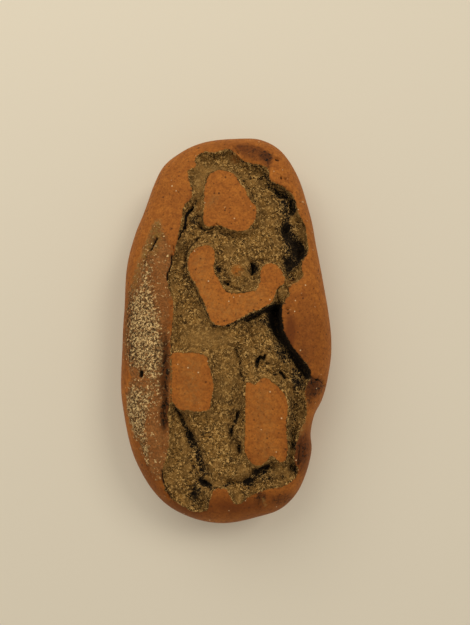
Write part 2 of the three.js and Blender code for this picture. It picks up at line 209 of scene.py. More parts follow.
FINE_FURROWS = {
    "slit above": (((-26.5, 61.5), (-31.5, 57)), 1.0, 0.8),
    "knot": (((29.5, -22.5), (30, -20), (32.5, -18), (35, -18.5)), 1.2, 1.6),
    "knot end": (((37, -17), (36.5, -19.5)), 0.8, 1.5),
    "knot side": (((38, -21), (40.5, -21.5)), 0.7, 1.0),
    "thigh nick": (((50.5, -25.5), (53, -26.5), (54.5, -28)), 1.1, 1.5),
    "thigh nick two": (((54, -24.5), (56.5, -25.5)), 0.6, 0.9),
    "neck line": ((
        (-24.5, 49.5), (-18, 45.5), (-7, 44), (4.5, 43.5), (16.5, 44.5), (27.5, 46.5),
    ), 1.0, 0.5),
    "neck crease": (((-9.5, 47), (-2, 44.5), (6.5, 41.5)), 0.8, 0.5),
    "shoulder line": (((-36.5, 34.5), (-34, 38.5), (-27.5, 41), (-19, 43)), 1.1, 0.5),
    "arm side": ((
        (-36.5, 33), (-34.5, 26.5), (-30.5, 21), (-24, 13.5), (-17.5, 6), (-12, 0),
    ), 1.2, 0.6),
    "hair edge": (((14, 75), (19.5, 70.5), (25, 66), (29.5, 61)), 1.2, 0.6),
    "hair lock": (((32.5, 60), (36, 55), (37, 50), (40.5, 45)), 0.9, 0.4),
    "crown edge": ((
        (6, 88), (10, 84.5), (17.5, 81.5), (25, 79.5), (33.5, 78.5), (40, 75),
    ), 1.2, 0.6),
    "top wall": (((41, 73), (42, 69.5), (48.5, 66.5), (57.5, 64), (63, 61), (65, 56)), 1.8, 0.8),
    "shoulder wall": ((
        (61, 54.5), (56.5, 49.5), (57, 44.5), (63.5, 40.5), (72, 37.5), (72.5, 32.5),
    ), 2.4, 0.45),
    "shoulder low": (((71.5, 35.5), (69, 30.5), (61.5, 27), (58.5, 23.5), (64, 20.5)), 2.0, 0.5),
    "over the elbow": (((25, 29), (34, 30), (44, 29)), 0.9, 0.5),
    "boss ring": (((-6.5, 29.5), (-5.5, 24.5), (-1, 20), (6.5, 16.5), (15.5, 15)), 1.1, 0.5),
    "forearm side": ((
        (-9, -3), (5.5, -2.5), (17.5, 0.5), (28, 3), (37.5, 5.5), (49, 7.5),
    ), 1.5, 0.8),
    "forearm dark": (((20, 0), (28, 2), (36.5, 4.5), (47.5, 7)), 1.2, 1.2),
    "waist wall": ((
        (49, 6.5), (52, 0.5), (51.5, -5.5), (56, -10), (61.5, -15), (67.5, -20), (72.5, -24),
        (77, -27.5),
    ), 2.8, 1.3),
    "waist side": (((46.5, 3.5), (47, -4), (50.5, -8.5)), 1.6, 0.6),
    "waist line": (((22.5, -3), (25.5, -8), (31, -14.5)), 0.8, 0.4),
    "waist line two": (((32, -4), (36, -9.5), (42.5, -14.5)), 0.8, 0.3),
    "fold top": (((11, -14.5), (14.5, -20.5), (15.5, -26.5), (18, -29.5)), 0.9, 0.75),
    "fold low": ((
        (16.5, -37), (13.5, -44.5), (10, -49.5), (6.5, -54.5), (9, -58), (14.5, -63),
    ), 1.4, 0.4),
    "hip nick": (((-12.5, -20.5), (-8, -24.5)), 0.7, 0.4),
    "hip foot": (((-7, -42), (-10.5, -45)), 0.8, 0.5),
    "hem top": (((-43, -43), (-39, -47), (-35.5, -51), (-30, -55.5), (-26.5, -60)), 1.3, 0.5),
    "hem middle": (((-31, -56), (-24.5, -62), (-20, -68), (-15.5, -73.5)), 3.2, 0.7),
    "hem low": (((-23.5, -76.5), (-16.5, -79.5), (-8.5, -80.5), (-3, -79.5)), 1.4, 0.7),
    "base run": (((-3, -79), (10, -78), (19.5, -78)), 1.0, 0.35),
    "base dark": ((
        (19.5, -79.5), (26, -76.5), (30, -73.5), (35.5, -71.5), (40.5, -70.5),
    ), 3.0, 0.55),
    "base foot": (((19.5, -82), (25, -79.5)), 1.0, 0.5),
    "right strip": ((
        (54.5, -29), (61, -34.5), (64, -39.5), (65, -46), (63, -53), (61, -60.5),
    ), 2.0, 0.4),
    "robe line one": (((-28.5, -55), (-21, -59.5), (-16.5, -65.5)), 0.8, 0.25),
    "robe line two": (((-8.5, -63.5), (-5, -69), (2, -73.5)), 0.8, 0.25),
}

# Cracks and small breaks in the rim and the flank: path, full width and depth in millimetres
CRACKS = {
    "slit by the head": (((-31.5, 57.5), (-34.5, 55), (-36, 51.5), (-37, 47)), 0.9, 1.0),
    "slit's foot": (((-37, 47), (-40, 43.5), (-42, 40.5)), 0.6, 0.8),
    "hem slit": (((-42, -44.5), (-40, -47), (-38.5, -50.5), (-35, -53)), 0.55, 0.7),
    "hem slit low": (((-32, -55), (-29.5, -58.5)), 0.5, 0.5),
    "fold slit": (((14.5, -25.5), (14, -29)), 0.5, 0.6),
    "fold slit top": (((11, -16.5), (11.5, -21.5)), 0.45, 0.45),
    "fold slit low": (((13, -44), (11, -47.5), (10, -50)), 0.55, 0.65),
    "fold slit side": (((8, -52), (6.5, -54.5), (6, -57)), 0.5, 0.6),
    "fold slit foot": (((15.5, -58.5), (14.5, -61), (13.5, -64.5)), 0.5, 0.6),
    "foot slit end": (((-18.5, -78.5), (-14, -80), (-10.5, -79.5)), 0.8, 0.7),
    "waist slit": (((22.5, -4.5), (24.5, -8)), 0.5, 0.5),
    "chest slit": (((24.5, 29), (26.5, 26.5), (25.5, 23)), 0.8, 0.8),
    "base slit": (((63.5, -70), (64.5, -73.5)), 0.6, 0.7),
    "arm slit": (((-36.5, 32.5), (-34, 27)), 0.6, 0.55),
    "neck line": (((-23, 48.5), (-19, 46), (-13.5, 46), (-9, 47)), 0.6, 0.7),
    "neck crease": (((-7, 48.5), (-3, 46.5), (1.5, 44.5)), 0.5, 0.6),
    "neck curl": (((-27, 55), (-22, 53), (-20, 50.5), (-21, 47.5)), 0.6, 0.65),
    "shoulder line": (((-36, 34), (-32, 37.5), (-27.5, 40), (-24, 42)), 0.8, 0.6),
    "bead's left": (((50.5, 16), (48.5, 14.5), (48.5, 12), (50, 10), (51, 8)), 0.42, 0.6),
    "bead's right": ((
        (56, 16.5), (58.5, 15), (58.5, 13.5), (56.5, 11.5), (54, 10), (52.5, 8),
    ), 0.42, 0.6),
    "slit by the arm": ((
        (-48, 32.5), (-48, 29), (-49.5, 25.5), (-51.5, 23), (-51.5, 20),
    ), 0.7, 0.8),
    "slit above the arm": (((-46.5, 37.5), (-45.5, 33.5)), 0.5, 0.5),
    "upper flank crack": (((-62.5, 41.5), (-65, 38.5), (-68.5, 35.5)), 0.9, 0.9),
    "lower flank crack": (((-72, 32), (-74, 27.5)), 0.65, 0.7),
    "flank pit": (((-75, -25.5), (-75, -27)), 1.7, 1.0),
    "groove pit": (((-53.5, -11), (-54.5, -14)), 1.0, 0.5),
    "groove pit two": (((-52, -18), (-53, -21)), 1.0, 0.5),
    "groove pit three": (((-52.5, -30.5), (-51.5, -33.5)), 0.9, 0.5),
    "groove foot": (((-50.5, -38), (-52.5, -41.5), (-53, -44.5), (-50.5, -49.5)), 0.6, 0.5),
    "chip edge": (((77, -27.5), (80.5, -28.5), (84, -29.5)), 0.8, 0.6),
    "chip edge two": (((84, -29), (88, -30), (90.5, -31)), 0.9, 0.6),
    "chip pit": (((79.5, -31), (80.5, -32)), 0.8, 0.5),
    "low rim line": (((68, -60.5), (67, -63.5), (66, -69.5)), 0.7, 0.6),
    "low rim line two": (((71, -61.5), (71.5, -66)), 0.5, 0.4),
    "base crack": (((31, -79.5), (31, -84.5), (28.5, -88.5)), 1.0, 0.3),
    "left rim line": (((-53, -56), (-53.5, -61)), 0.5, 0.3),
    "foot slit": (((-55, -72.5), (-54.5, -77.5), (-51, -82.5), (-49, -85.5)), 0.8, 0.7),
    "top stain line": (((8, 90.5), (11, 88.5), (13.5, 86)), 0.6, 0.6),
    "under the stain": (((18.5, 81.5), (25, 80.5), (33.5, 79.5)), 0.4, 0.6),
    "over the scallop": (((42, 71), (48.5, 68.5), (56, 67), (64.5, 65)), 0.5, 0.65),
    "top pit": (((49, 83), (51.5, 83)), 0.9, 1.0),
    "rim pit one": (((53.5, 73), (54, 72.5)), 0.7, 0.9),
    "rim pit two": (((57, 72.5), (58, 72)), 0.6, 0.9),
    "rim pit three": (((57, 5.5), (57.5, 5)), 0.6, 0.9),
    "rim pit four": (((58, 3), (58.5, 2.5)), 0.5, 0.8),
}

# Dust that hides some of the clay: path in the same hundredths, full width in millimetres,
# strength from 0 to 1
DUST = {
    "flank edge": (((-62, 50), (-68, 41), (-74.5, 33), (-80, 25.5), (-85, 16.5)), 2.6, 0.9),
    "crust edge low": (((-84.5, -37), (-81, -46), (-76.5, -55.5), (-68, -66.5)), 1.2, 0.5),
    "right strip": (((70, -40), (70, -46.5), (67, -53.5)), 3.0, 0.9),
    "head smudge": (((-7.5, 62), (-12.5, 58)), 3.0, 0.3),
    "flank tip": (((-62.5, 45.5), (-63.5, 40), (-66, 35)), 4.5, 1.0),
    "arm top": (((-36, 29.5), (-32.5, 33.5), (-25, 36)), 1.0, 0.7),
    "arms": (((-22, 29.5), (-15.5, 12), (2, 4), (31, 11.5)), 7.0, 0.22),
    "hip": (((-28.5, -22.5), (-27.5, -38)), 9.0, 0.25),
    "leg": (((34, -35), (37.5, -62)), 9.0, 0.2),
    "neck side": (((-31, 60), (-35, 56.5)), 1.2, 0.6),
    "rim by the bead": (((60, 18.5), (67.5, 19.5), (72, 22)), 1.6, 0.4),
    "base tip": (((33.5, -85), (37, -88)), 1.2, 0.5),
}

# Brown stains on the clay: place, reach in the same hundredths, strength from 0 to 1
STAINS = {
    "top right core": ((40.5, 84), (8.5, 4.5), 0.9),
    "top right foot": ((40, 77.5), (5, 6.5), 0.35),
    "top right mid": ((31, 87.5), (10.5, 4.5), 0.2),
    "chip": ((81.5, -32), (13.5, 7), 1.0),
    "chip wall": ((76, -35), (8.5, 10.5), 0.75),
    "low right": ((69, -63.5), (11.5, 13.5), 0.75),
    "base": ((32, -83.5), (7.5, 7.5), 0.8),
    "left groove": ((-52, -25.5), (7.5, 32.5), 1.25),
    "groove foot": ((-51, -46), (7, 10.5), 1.2),
    "waist rim": ((70.5, -15.5), (7.5, 9.5), 0.3),
    "bottom right": ((51, -85.5), (14.5, 4.5), 0.5),
}

# Where the clay is painted darker and redder (positive) or brighter (negative): partly the clay's own
# tone, partly painted shade on the rims and edges toward the bottom and the right
CLAY_TONES_AND_SHADE = {
    "right rim": ((72.5, -8), (33, 32.5), 0.6),
    "beside the waist": ((59, -5.5), (8.5, 14), 0.75),
    "chip": ((79.5, -34), (13.5, 11.5), 0.6),
    "low right rim": ((68.5, -62.5), (21.5, 22), 0.95),
    "bottom rim": ((7.5, -88.5), (77.5, 11.5), 0.85),
    "bottom left rim": ((-37.5, -87.5), (33, 16), 0.5),
    "low left rim": ((-64, -68), (25, 26.5), 0.6),
    "left strip": ((-52.5, 5), (13.5, 42), 0.5),
    "left edge": ((-92, -7), (7.5, 31.5), 0.6),
    "left shoulder": ((-51.5, 32.5), (11.5, 16), 0.35),
    "arms": ((2, 12.5), (48.5, 23.5), -0.3),
    "top edge": ((7.5, 89.5), (42.5, 7.5), 0.3),
    "bottom right": ((54, -82.5), (25, 9.5), 0.3),
    "leg": ((28.5, -67.5), (19.5, 8.5), 0.35),
    "hip": ((-27, -29), (29, 21), 0.12),
    "leg patch": ((38.5, -48), (31, 31.5), 0.1),
    "crown": ((1, 72), (15.5, 7.5), -0.3),
}

# Where the crust's cream speckles are thick
SPECKLES = {
    "upper": ((-74, 5), (22, 20), 1.0),
    "middle": ((-71.5, -12.5), (25, 20), 1.1),
    "low": ((-78, -41), (18.5, 16), 1.0),
    "lowest": ((-77.5, -52.5), (13.5, 11.5), 0.7),
    "last": ((-70.5, -64), (7.5, 12.5), 0.7),
    "top": ((-70.5, 26.5), (13.5, 16), 0.45),
    "tip": ((-65, 39), (7, 8.5), 0.4),
    "right": ((-61, -24.5), (13.5, 32.5), 0.45),
}

# Where the soil is so thin that the clay shows through it
THIN_SOIL = {
    "chest": ((12, 24.5), (7.5, 4.5), 1.3),
    "rim over the crown": ((11, 84), (7.5, 3.5), 0.7),
    "by the neck": ((-23, 58), (6, 4.5), 0.4),
    "under the bead": ((61, 18.5), (7.5, 3), 0.4),
}

# Where the soil is smooth and even
SMOOTH_SOIL = {
    "beside the head": ((-23, 72.5), (10.5, 17), 1.0),
    "over the hip": ((-19, -8.5), (36.5, 9.5), 0.9),
    "robe": ((2, -29), (19.5, 29), 0.5),
    "chest": ((13, 23), (13.5, 8.5), 0.5),
    "bead": ((53, 13.5), (7.5, 4), 1.0),
}

# Where the soil is painted darker: mostly painted shade beside and under the raised forms, under the rim
# and in the deep places, partly dark soil; the two crust edge spots darken the flank's crust
SHADED_SOIL = {
    "left of the arm": ((-34.5, 20), (9.5, 20), 0.75),
    "by the neck": ((-28.5, 51.5), (10.5, 8.5), 0.55),
    "under the crown": ((37.5, 71), (13.5, 8.5), 0.5),
    "under the rim": ((56, 61.5), (15.5, 10.5), 0.9),
    "shoulder": ((56.5, 48), (12.5, 16), 0.85),
    "shoulder low": ((63.5, 34.5), (17.5, 13.5), 1.0),
    "elbow": ((57.5, 25), (11.5, 7.5), 0.7),
    "waist top": ((45.5, 1), (19.5, 10.5), 1.0),
    "waist": ((56, -12), (23, 21), 1.15),
    "forearm": ((23.5, -1), (25, 5.5), 0.7),
    "under the waist": ((68, -29), (13.5, 10.5), 0.8),
    "robe fold": ((11, -52), (12.5, 25.5), 0.65),
    "hem": ((-24.5, -66), (11.5, 22), 0.75),
    "foot hollow": ((-25, -83), (11.5, 8.5), 0.95),
    "crust edge": ((-87.5, -0.5), (7.5, 23), 0.8),
    "crust edge low": ((-85, -17.5), (6, 11.5), 0.6),
    "right of the leg": ((63, -46), (11.5, 29), 0.75),
    "base": ((33, -75), (23, 8), 0.85),
    "base right": ((60, -71.5), (13.5, 8.5), 0.6),
}

CURVE_STEPS = 12


class PlaqueSize(PropertyGroup):
    """The size and form of the clay body"""

    width: FloatProperty(
        name="Width", description="Overall width", unit="LENGTH", default=CAD_HIGH.x - CAD_LOW.x
    )
    length: FloatProperty(
        name="Length", description="Overall length", unit="LENGTH", default=CAD_HIGH.y - CAD_LOW.y
    )
    thickness: FloatProperty(
        name="Thickness", description="Height at the middle", unit="LENGTH",
        default=CAD_HIGH.z - CAD_LOW.z,
    )
    crown_across: FloatProperty(
        name="Crown Across", description="How much lower the face is at its sides",
        unit="LENGTH", default=1.2 * MM,
    )
    crown_along: FloatProperty(
        name="Crown Along", description="How much lower the face is at its two ends",
        unit="LENGTH", default=1.5 * MM,
    )
    widest_height: FloatProperty(
        name="Widest Height", description="Height at which the body is widest",
        unit="LENGTH", default=8.5 * MM,
    )
    left_rounding: FloatProperty(
        name="Left Rounding", description="How far the rounded edge reaches in on the left",
        unit="LENGTH", default=9 * MM,
    )
    right_rounding: FloatProperty(
        name="Right Rounding", description="How far the rounded edge reaches in on the right",
        unit="LENGTH", default=7 * MM,
    )
    back_rounding: FloatProperty(
        name="Back Rounding", description="How far the edge reaches in under the body",
        unit="LENGTH", default=5 * MM,
    )
    shoulder_power: FloatProperty(
        name="Shoulder Power", description="How full the shoulder of the rounded edge is",
        default=2.2,
    )
    cell: FloatProperty(
        name="Cell", description="Spacing of the vertices of the face", unit="LENGTH",
        default=0.2 * MM,
    )


class PlaqueRelief(PropertyGroup):
    """Depths of the relief below the worn face and the slopes that lead down to them"""

    ground_depth: FloatProperty(
        name="Ground Depth", description="Depth of the sunken field", unit="LENGTH",
        default=1.9 * MM,
    )
    figure_rise: FloatProperty(
        name="Figure Rise", description="How far the figure stands above the field",
        unit="LENGTH", default=0.8 * MM,
    )
    figure_slope: FloatProperty(
        name="Figure Slope", description="Width of the slope round the figure",
        unit="LENGTH", default=1.8 * MM,
    )
    left_wall: FloatProperty(
        name="Left Wall", description="Width of the field's wall on the left",
        unit="LENGTH", default=1.8 * MM,
    )
    right_wall: FloatProperty(
        name="Right Wall", description="Width of the field's wall on the right",
        unit="LENGTH", default=0.9 * MM,
    )
    patch_slope: FloatProperty(
        name="Patch Slope", description="Width of the slope round each worn patch",
        unit="LENGTH", default=1.3 * MM,
    )
    raggedness: FloatProperty(
        name="Raggedness", description="How far edges and furrows wander", unit="LENGTH",
        default=0.13 * MM,
    )
    lumps: FloatProperty(
        name="Lumps", description="Height of the broad lumps of the hand-shaped body",
        unit="LENGTH", default=0.15 * MM,
    )
    soil_grain: FloatProperty(
        name="Soil Grain", description="Height of the lumps and crumbs of the soil",
        unit="LENGTH", default=0.22 * MM,
    )
    crust_grain: FloatProperty(
        name="Crust Grain", description="Height of the crust's roughness", unit="LENGTH",
        default=0.14 * MM,
    )
    clay_pits: FloatProperty(
        name="Clay Pits", description="Depth of the small pits in the worn clay",
        unit="LENGTH", default=0.1 * MM,
    )


def colour(label, about, value):
    """A colour setting, in linear light"""
    return FloatVectorProperty(
        name=label, description=about, subtype="COLOR", size=4, min=0, max=1, default=(*value, 1)
    )


class PlaqueColours(PropertyGroup):
    """Colours of the clay and of what clings to it"""

    clay: colour("Clay", "Worn fired clay", (0.395, 0.13, 0.0195))
    clay_bright: colour("Bright Clay", "Brighter places in the clay", (0.51, 0.182, 0.028))
    # Also the colour of the painted shade on the darker rims, laid on through the tone mask
    clay_red_and_shade: colour("Red Clay", "Darker, redder places in the clay", (0.16, 0.042, 0.006))
    clay_stain: colour("Stain", "Brown stain on the clay", (0.075, 0.022, 0.004))
    grit: colour("Grit", "Pale grit in the clay", (0.75, 0.55, 0.32))
    pit: colour("Pit", "Dark pits in the clay", (0.08, 0.025, 0.006))
    soil: colour("Soil", "Dry olive-brown soil", (0.255, 0.134, 0.033))
    soil_smooth: colour("Smooth Soil", "Smooth, even soil", (0.3, 0.165, 0.05))
    soil_pale: colour("Pale Soil", "Pale crumbs in the soil", (0.6, 0.37, 0.13))
    # Also the colour of painted shade in the soil's small hollows, at the foot of the field's walls and in
    # its deep places
    dark_soil_and_shade: colour("Dark Soil", "Soil in the small hollows", (0.03, 0.016, 0.005))
    # Near black: painted shade at the bottom of the furrows and in the cracks, partly dark soil and dirt
    hollow_black_and_shade: colour("Hollow", "Soil at the bottom of the furrows", (0.008, 0.005, 0.003))
    film: colour("Film", "Thin brown film on the clay round the crust", (0.345, 0.142, 0.042))
    crust: colour("Crust", "Olive-brown crust on the flank", (0.25, 0.139, 0.054))
    crust_dark: colour("Dark Crust", "Dark places of the crust", (0.06, 0.034, 0.014))
    crust_pale: colour("Pale Crust", "Cream speckles on the crust", (0.9, 0.65, 0.32))


class StageSettings(PropertyGroup):
    """The floor, the light and the camera"""

    floor: colour("Floor", "Plain pale floor", (0.8, 0.77, 0.7))
    light: colour("Light", "Colour of all the light", (1, 0.9, 0.73))
    sky_strength: FloatProperty(
        name="Sky Strength", description="Strength of the even light", default=0.46
    )
    key_power: FloatProperty(
        name="Key Power", description="Power of the soft light from the right", unit="POWER",
        default=2.9,
    )
    top_power: FloatProperty(
        name="Top Power", description="Power of the wide light over the upper left",
        unit="POWER", default=0.6,
    )
    elevation: FloatProperty(
        name="Elevation", description="Camera angle above the floor", unit="ROTATION",
        default=math.radians(82.7),
    )
    azimuth: FloatProperty(
        name="Azimuth", description="Camera turn round the plaque", unit="ROTATION",
        default=math.radians(20.56),
    )
    distance: FloatProperty(
        name="Distance", description="Camera distance from the place it looks at",
        unit="LENGTH", default=117.16 * MM,
    )
    look_at: FloatVectorProperty(
        name="Look At", description="Place at the middle of the picture",
        subtype="TRANSLATION", default=(2.118 * MM, 2.603 * MM, 9 * MM),
    )
    lens: FloatProperty(
        name="Lens", description="Focal length in millimetres on a 36 mm sensor", default=28.8
    )


def curve_through(points, closed):
    """A smooth curve through the points, as an array of places along it"""
    points = np.array(points, float)
    if closed:
        before, start = np.roll(points, 1, 0), points
        end, beyond = np.roll(points, -1, 0), np.roll(points, -2, 0)
    else:
        spare = np.vstack([2 * points[0] - points[1], points, 2 * points[-1] - points[-2]])
        before, start, end, beyond = spare[:-3], spare[1:-2], spare[2:-1], spare[3:]
    knot = lambda a, b: np.sqrt(np.linalg.norm(b - a, axis=1))[:, None]
    first, middle, last = knot(before, start), knot(start, end), knot(end, beyond)
    out = (start - before) / first - (end - before) / (first + middle) + (end - start) / middle
    into = (end - start) / middle - (beyond - start) / (middle + last) + (beyond - end) / last
    out, into = out * middle, into * middle
    t = np.linspace(0, 1, CURVE_STEPS, endpoint=False)[:, None, None]
    square = 3 * (end - start) - 2 * out - into
    cube = 2 * (start - end) + out + into
    places = (start + out * t + square * t**2 + cube * t**3).transpose(1, 0, 2).reshape(-1, 2)
    return places if closed else np.vstack([places, points[-1]])


SHEET_SPAN = np.ptp(curve_through(OUTLINE, True), axis=0)


def scaled(values, size):
    """Hundredths of the drawing sheet as metres on the plaque"""
    return np.array(values, float) * (size.width, size.length) / SHEET_SPAN


def drawn(points, closed, size):
    """A smooth curve through points of the drawing sheet, in metres"""
    return scaled(curve_through(points, closed), size)


def distance_to(line, closed, places):
    """How far each place is from a polyline"""
    starts = line if closed else line[:-1]
    ends = np.roll(line, -1, 0) if closed else line[1:]
    nearest = np.full(len(places), np.inf)
    for start, end in zip(starts, ends):
        run = end - start
        offset = places - start
        share = np.clip(offset @ run / (run @ run), 0, 1)
        offset -= share[:, None] * run
        np.minimum(nearest, offset[:, 0] ** 2 + offset[:, 1] ** 2, out=nearest)
    return np.sqrt(nearest)


def depth_inside(line, places):
    """How far each place is inside a closed line, negative outside it"""
    x, y = places.T
    inside = np.zeros(len(places), bool)
    for (ax, ay), (bx, by) in zip(line, np.roll(line, -1, 0)):
        if ay != by:
            inside ^= ((ay > y) != (by > y)) & (x < ax + (y - ay) / (by - ay) * (bx - ax))
    return np.where(inside, 1, -1) * distance_to(line, True, places)


def ramp(value, width):
    """Rises smoothly from 0 to 1 while value goes from 0 to width"""
    share = np.clip(value / width, 0, 1)
    return share * share * (3 - 2 * share)


def grain(places, wavelength, octaves=1, seed=0):
    """Smooth noise, about -1 to 1, at each place"""
    shifted = np.asarray(places) / wavelength + 17.3 * seed
    if shifted.shape[1] == 2:
        shifted = np.column_stack([shifted, np.full(len(shifted), 0.5)])
    return np.array([noise.fractal(place, 1.0, 2.0, octaves) for place in shifted.tolist()])


def right_share(places, size):
    """0 at the left edge, 1 at the right edge"""
    return ramp(places[:, 0] + size.width / 2, size.width)


def between(left, right, share):
    return left + (right - left) * share


def edge_rounding(places, size):
    return between(size.left_rounding, size.right_rounding, right_share(places, size))


def worn_height(places, size, outline):
    """Height of the body before carving: a domed face that rounds over to the edge"""
    across, along = (places / (size.width / 2, size.length / 2)).T
    crown = size.crown_across * across**2 + size.crown_along * along**2
    inward = np.clip(depth_inside(outline, places) / edge_rounding(places, size), 0, 1)
    shoulder = (1 - (1 - inward) ** size.shoulder_power) ** (1 / size.shoulder_power)
    return size.widest_height + (size.thickness - crown - size.widest_height) * shoulder


def spots_sum(spots, places, size):
    """Depths or strengths of round spots, summed at each place"""
    total = np.zeros(len(places))
    for at, reach, strength in spots.values():
        away = (((places - scaled(at, size)) / scaled(reach, size)) ** 2).sum(axis=1)
        total += strength * np.clip(1 - away, 0, 1) ** 2
    return total


def furrows_sum(furrows, places, size):
    """Depths of furrows in millimetres, summed at each place"""
    total = np.zeros(len(places))
    for path, width, depth in furrows.values():
        distance = distance_to(drawn(path, False, size), False, places)
        total += depth * (1 - ramp(distance, width / 2 * MM))
    return total


def outline_beyond(outline, place):
    """Where the ray from the middle through a place leaves the outline"""
    run = np.roll(outline, -1, 0) - outline
    turn = place[0] * run[:, 1] - place[1] * run[:, 0]
    share = (place[1] * outline[:, 0] - place[0] * outline[:, 1]) / turn
    reach = (outline[:, 0] * run[:, 1] - outline[:, 1] * run[:, 0]) / turn
    hit = np.flatnonzero((share >= 0) & (share < 1) & (reach > 0))[0]
    return place * reach[hit]


def spoke_places(start, outline, rows, size):
    """Places from the middle grid out to the outline, even along the rounded surface"""
    end = outline_beyond(outline, start)
    run = np.linalg.norm(end - start)
    rounding = min(edge_rounding(start[None], size)[0], 0.9 * run)
    flat = run - rounding
    arc = math.pi / 4 * (rounding + size.thickness - size.widest_height)
    travelled = np.arange(1, rows + 1) / rows * (flat + arc)
    turn = np.clip(travelled - flat, 0, None) / arc * math.pi / 2
    out = np.minimum(travelled, flat) + rounding * np.sin(turn)
    return start + (end - start) * (out / run)[:, None]


class BodyMesh:
    """Vertices and faces of the smooth body: a middle grid, a ring round it and a flat back"""

    core_share = (0.52, 0.66)
    ring_rows = 48
    under_rows = 12
    back_rows = 4

    def __init__(self, size):
        outline = drawn(OUTLINE, True, size)
        half = np.array((size.width, size.length)) / 2 * self.core_share
        across, along = (2 * half / size.cell).astype(int)
        grid = np.meshgrid(
            np.linspace(-half[0], half[0], across + 1),
            np.linspace(-half[1], half[1], along + 1),
            indexing="ij",
        )
        core = np.stack(grid, axis=-1).reshape(-1, 2)
        index = np.arange(len(core)).reshape(across + 1, along + 1)
        border = np.concatenate(
            [index[:-1, 0], index[-1, :-1], index[:0:-1, -1], index[0, :0:-1]]
        )
        rows = self.ring_rows
        spokes = np.array([spoke_places(core[i], outline, rows, size) for i in border])
        edge = spokes[:, -1]
        self.face = np.vstack([core, spokes.reshape(-1, 2)])
        heights = worn_height(self.face, size, outline)
        heights = np.where(depth_inside(outline, self.face) < 1e-7, size.widest_height, heights)
        under = self.under_places(edge, size)
        self.points = np.vstack([np.column_stack([self.face, heights]), under.reshape(-1, 3)])
        self.quads, self.back = self.make_faces(index, border, rows)

    def under_places(self, edge, size):
        """Places below the widest line, rounded under to the flat back"""
        turn = np.linspace(0, math.pi / 2, self.under_rows + 1)[1:]
        inset = size.back_rounding * (1 - np.cos(turn))
        height = size.widest_height * (1 - np.sin(turn))
        spare = np.arange(1, self.back_rows + 1) * size.back_rounding / self.back_rows
        inset = np.concatenate([inset, size.back_rounding + spare])
        height = np.concatenate([height, np.zeros(self.back_rows)])
        reach = np.linalg.norm(edge, axis=1)[:, None]
        share = 1 - inset / reach
        flat = edge[:, None] * share[..., None]
        return np.dstack([flat, np.broadcast_to(height, share.shape)])

    def make_faces(self, index, border, rows):
        """Quads of the grid and of the rings, and the one flat face of the back"""
        grid = np.stack(
            [index[:-1, :-1], index[1:, :-1], index[1:, 1:], index[:-1, 1:]], axis=-1
        ).reshape(-1, 4)
        below = self.under_rows + self.back_rows
        outer = index.size + np.arange(len(border) * rows).reshape(len(border), rows)
        lower = index.size + outer.size + np.arange(len(border) * below).reshape(-1, below)
        spokes = np.hstack([border[:, None], outer, lower])
        turned = np.roll(spokes, -1, 0)
        rings = np.stack(
            [spokes[:, :-1], spokes[:, 1:], turned[:, 1:], turned[:, :-1]], axis=-1
        ).reshape(-1, 4)
        return np.vstack([grid, rings]), lower[::-1, -1]


def vertex_normals(mesh):
    normals = np.empty(len(mesh.vertices) * 3, np.float32)
    mesh.vertex_normals.foreach_get("vector", normals)
    return normals.reshape(-1, 3)


def carve(body, size, relief):
    """Relief depth of each vertex of the face, and masks of what lies in the field and of the painted
    shade in its hollows
    """
    plan = body.face
    wander = np.column_stack([grain(plan, 1.3 * MM, 3, seed) for seed in (1, 2)])
    ragged = plan + relief.raggedness * wander
    field = depth_inside(drawn(FIELD, True, size), ragged)
    figure = depth_inside(drawn(FIGURE, True, size), ragged)
    patches = np.max(
        [depth_inside(drawn(patch, True, size), ragged) for patch in WORN_PATCHES.values()], axis=0
    )
    soil = np.minimum(field, -patches)

    depth = relief.ground_depth - relief.figure_rise * ramp(figure, relief.figure_slope)
    depth += MM * (spots_sum(SPOTS, plan, size) + furrows_sum(FURROWS, plan, size))
    broad = depth / MM
    fine = spots_sum(FINE_SPOTS, ragged, size) + furrows_sum(FINE_FURROWS, ragged, size)
    depth += MM * fine
    wall = between(relief.left_wall, relief.right_wall, right_share(plan, size))
    edge = ramp(field, wall) * ramp(-patches, relief.patch_slope)
    smooth = np.clip(spots_sum(SMOOTH_SOIL, ragged, size), 0, 1)
    crumbs = 0.6 * grain(plan, 1.9 * MM, 2, 3) + grain(plan, 0.95 * MM, 3, 4)
    uneven = relief.soil_grain * crumbs * (1 - 0.7 * smooth)
    depth = np.maximum(depth, 0) * edge - uneven * np.sqrt(edge)

    # Painted shade in the soil, partly dark soil, from the shaded spots
    shade = np.clip(spots_sum(SHADED_SOIL, ragged, size), 0, 1)
    # Painted shade: the deeper the relief, the darker and blacker the soil is painted
    hollow_black_and_shade = 0.8 * np.clip((broad - 2.3) / 1.3, 0, 1) + 0.9 * np.clip(fine, 0, 1)
    return {
        "depth": np.where(soil > 0, np.maximum(depth, 0), 0),
        "soil_reach": soil / MM,
        "hollow_black_and_shade": np.clip(hollow_black_and_shade, 0, 1),
        "crumb": crumbs,
        "smooth": smooth,
        "shade": shade,
        "thin": np.clip(spots_sum(THIN_SOIL, ragged, size), 0, 1),
    }


